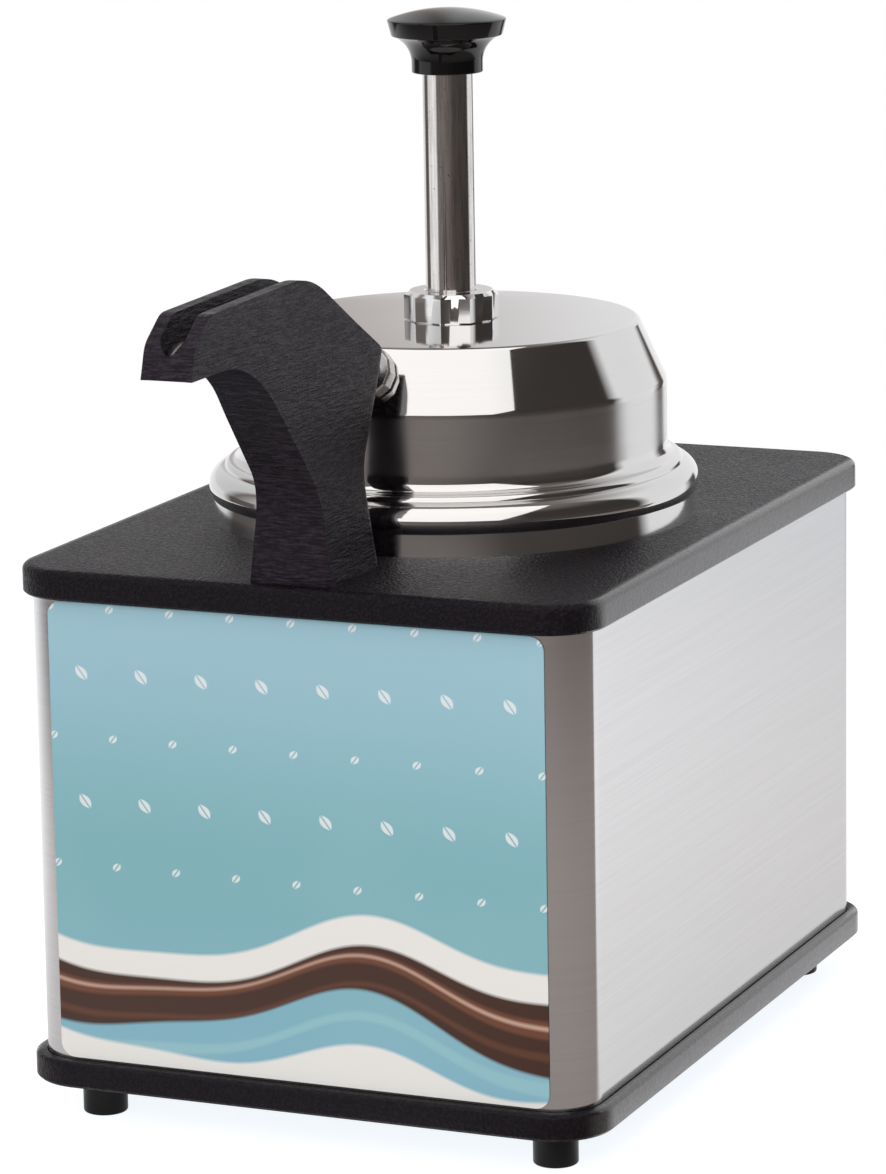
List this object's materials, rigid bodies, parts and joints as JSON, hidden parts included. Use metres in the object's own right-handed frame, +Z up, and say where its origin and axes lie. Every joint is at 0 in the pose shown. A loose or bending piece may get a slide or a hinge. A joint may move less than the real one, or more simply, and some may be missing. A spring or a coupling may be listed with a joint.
{
  "type": "topping warmer",
  "caption": "Countertop warmer: steel cabinet with water-bath jar, domed lid with hand pump, and a heated spout that carries hot topping out over a cup.",
  "frame": {"origin": "on the counter, under the middle of the overall length and width (spout tip to dial)", "axes": "+Z up, -Y towards the spout and the front face, +X to the right of someone facing the front"},
  "size_m": [0.229, 0.417, 0.4007],
  "materials": {
    "black_enamel": "fine textured black powder coat",
    "brushed_steel": "horizontal brushed stainless steel",
    "polished_steel": "polished stainless steel",
    "satin_steel": "satin drawn stainless steel",
    "plated_steel": "zinc-plated steel",
    "black_phenolic": "glossy black moulded phenolic",
    "black_plastic": "matt black moulding",
    "acetal": "white machined acetal",
    "black_rubber": "black rubber",
    "printed_film": "printed polyester film, pale blue",
    "dial_print": "black screen-printed aluminium",
    "insulation": "glass fibre blanket",
    "incoloy": "oxidised heater sheath",
    "spring_steel": "stainless spring wire",
    "copper": "copper"
  },
  "bodies": {
    "cabinet": {"base_tray": "black_enamel", "rubber_feet": "black_rubber", "foot_screws": "plated_steel", "tie_rods": "plated_steel", "wrapper_shell": "brushed_steel", "seam_strip": "plated_steel", "front_graphic": "printed_film", "top_cover": "black_enamel", "water_vessel": "satin_steel", "vessel_floor": "satin_steel", "vessel_gasket": "black_rubber", "jar_rest": "satin_steel", "insulation_sleeve": "insulation", "heating_element": "incoloy", "heater_clamp": "plated_steel", "clamp_stud": "plated_steel", "thermostat": "plated_steel", "thermostat_bulb": "copper", "dial_plate": "dial_print", "switch_frame": "black_plastic", "cord_gland": "black_plastic", "terminal_block": "acetal", "spout_core": "black_enamel", "spout_cheek_left": "black_enamel", "spout_cheek_right": "black_enamel", "spout_heater": "incoloy", "spout_screws": "plated_steel"},
    "lid_and_pump": {"lid_shell": "polished_steel", "head_gasket": "black_rubber", "pump_head": "acetal", "stem_bushing": "acetal", "pump_cylinder": "satin_steel", "valve_body": "acetal", "spring_seat": "acetal", "return_spring": "spring_steel", "riser_tube": "satin_steel", "spout_tube": "satin_steel", "outlet_fitting": "satin_steel", "outlet_gasket": "black_rubber", "outlet_nut": "polished_steel"},
    "plunger": {"stem": "polished_steel", "piston": "acetal", "piston_seal": "black_rubber", "plunger_knob": "black_phenolic"},
    "thermostat_dial": {"thermostat_knob": "black_plastic"},
    "switch_rocker": {"power_rocker": "black_plastic"},
    "lock_ring": {"lock_nut": "polished_steel"},
    "check_ball": {"valve_ball": "polished_steel"},
    "jar_body": {"jar": "satin_steel", "jar_floor": "satin_steel"}
  },
  "joints": [
    {"name": "lid_lift", "type": "slide", "parent": "cabinet", "child": "lid_and_pump", "axis": [0, 0, 1], "range_m": [0, 0.36]},
    {"name": "jar_lift", "type": "slide", "parent": "cabinet", "child": "jar_body", "axis": [0, 0, 1], "range_m": [0, 0.18]},
    {"name": "pump_stroke", "type": "slide", "parent": "lid_and_pump", "child": "plunger", "axis": [0, 0, -1], "range_m": [0, 0.06], "stiffness_N_per_m": 150, "springref_m": -0.06, "deforming": ["return_spring"]},
    {"name": "lock_turn", "type": "hinge", "parent": "lid_and_pump", "child": "lock_ring", "pos_m": [0, 0.0361, 0.289], "axis": [0, 0, 1], "range_deg": [0, 90]},
    {"name": "ball_lift", "type": "slide", "parent": "lid_and_pump", "child": "check_ball", "axis": [0, 0, 1], "range_m": [0, 0.005]},
    {"name": "thermostat_turn", "type": "hinge", "parent": "cabinet", "child": "thermostat_dial", "pos_m": [-0.048, 0.1979, 0.078], "axis": [0, 1, 0], "range_deg": [-300, 0]},
    {"name": "power_switch", "type": "hinge", "parent": "cabinet", "child": "switch_rocker", "pos_m": [0.008, 0.1879, 0.078], "axis": [1, 0, 0], "range_deg": [-22, 0]}
  ],
  "couplings": [
    {"joint": "jar_lift", "follows": "lid_lift", "ratio": 0.5}
  ]
}
